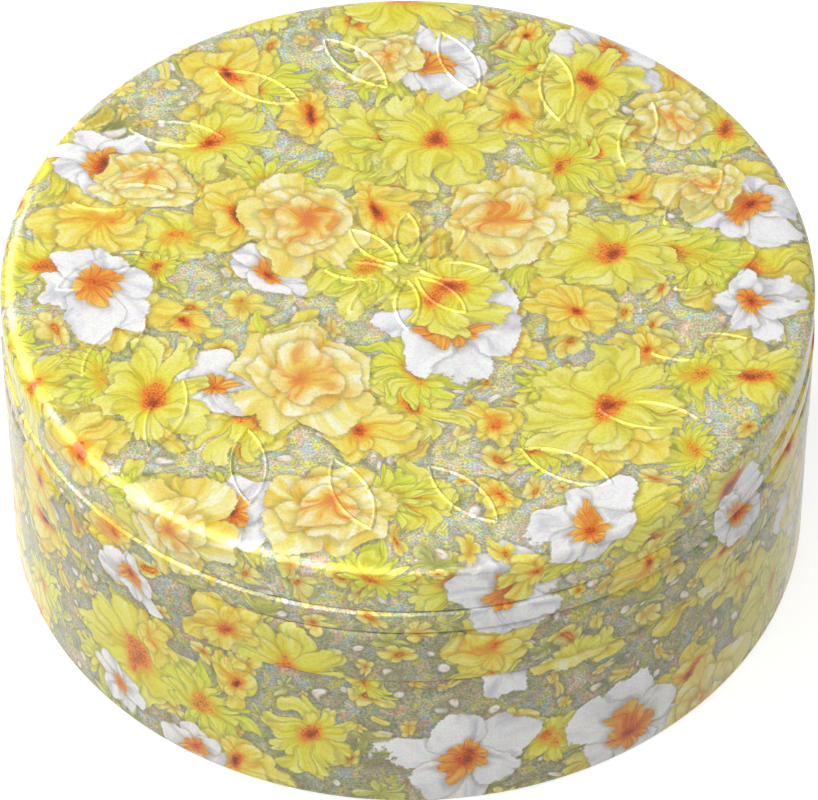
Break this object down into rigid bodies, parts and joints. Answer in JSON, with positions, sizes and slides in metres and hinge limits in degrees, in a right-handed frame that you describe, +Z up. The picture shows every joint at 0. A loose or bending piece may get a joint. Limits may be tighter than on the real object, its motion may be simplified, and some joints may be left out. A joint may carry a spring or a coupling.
{
  "type": "round tea caddy",
  "caption": "Shallow round tea caddy of drawn, printed metal with a slip-on lid and a press-in inner lid with a knob.",
  "frame": {"origin": "centre of the foot, on the surface that the caddy stands on", "axes": "+Z up along the caddy's axis of revolution, towards the lid; the caddy has no front, so +X and +Y only fix the print"},
  "size_m": [0.072, 0.072, 0.0302],
  "materials": {
    "printed_base": "glossy varnished floral print on white-coated sheet",
    "printed_lid": "glossy varnished floral print on white-coated sheet",
    "inner_metal": "satin lacquered",
    "knob_metal": "turned, satin"
  },
  "bodies": {
    "base": {"base_shell": "printed_base"},
    "inner_lid": {"inner_lid": "inner_metal", "inner_lid_knob": "knob_metal", "knob_rivet": "knob_metal"},
    "lid": {"lid_shell": "printed_lid"}
  },
  "joints": [
    {"name": "inner_lid_lift", "type": "slide", "parent": "base", "child": "inner_lid", "axis": [0, 0, 1], "range_m": [0, 0.025]},
    {"name": "lid_lift", "type": "slide", "parent": "inner_lid", "child": "lid", "axis": [0, 0, 1], "range_m": [0, 0.04]}
  ]
}
